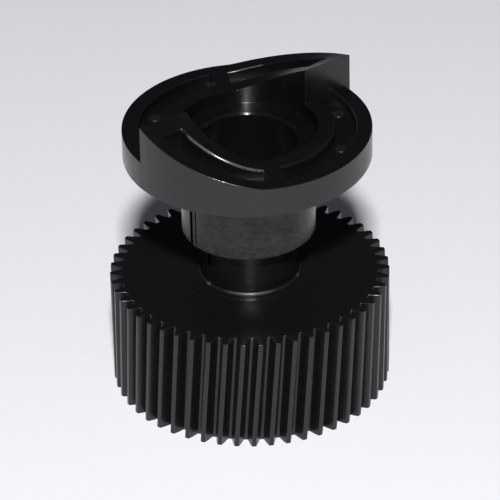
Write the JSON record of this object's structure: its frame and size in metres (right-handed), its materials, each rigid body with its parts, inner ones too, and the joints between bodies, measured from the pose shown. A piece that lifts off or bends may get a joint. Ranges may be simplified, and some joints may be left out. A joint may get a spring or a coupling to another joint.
{
  "type": "sprung coupling drive gear",
  "caption": "Helical drive gear on a plain shaft bush, with a keyed neck that slides against a spring and carries a flange whose face has curved ramps ending in square steps.",
  "frame": {"origin": "on the shaft's axis, at the gear's bottom face, where the gear stands", "axes": "+Z runs along the shaft from the gear to the coupling face; +X is to the right and +Y to the back as the part is seen from the front"},
  "size_m": [0.0424, 0.0424, 0.0492],
  "materials": {
    "gear_acetal": "semi-gloss moulded black acetal",
    "guide_acetal": "glossy black acetal, polished mouth",
    "neck_acetal": "glossy black acetal, rubbed by sliding",
    "coupling_plastic": "semi-gloss moulded black glass-filled plastic",
    "key_plastic": "satin black plastic strip",
    "bush_bronze": "oil-filled sintered bronze, matt",
    "spring_steel": "drawn spring steel, satin",
    "washer_steel": "pressed zinc-plated steel"
  },
  "bodies": {
    "shaft_mount": {"shaft_bush": "bush_bronze"},
    "gear": {"drive_gear": "gear_acetal", "guide_bush": "guide_acetal", "bottom_cap": "gear_acetal", "cap_circlip": "spring_steel", "spring_seat": "washer_steel", "return_spring": "spring_steel"},
    "coupling": {"plunger_tube": "neck_acetal", "plunger_bush": "bush_bronze", "cam_coupling": "coupling_plastic", "left_key": "key_plastic", "right_key": "key_plastic", "coupling_ring": "spring_steel"}
  },
  "joints": [
    {"name": "gear_spin", "type": "hinge", "parent": "shaft_mount", "child": "gear", "pos_m": [0, 0, 0], "axis": [0, 0, 1], "continuous": true},
    {"name": "coupling_slide", "type": "slide", "parent": "gear", "child": "coupling", "axis": [0, 0, 1], "range_m": [-0.007, 0], "stiffness_N_per_m": 250, "springref_m": 0.016, "deforming": ["return_spring"]}
  ]
}
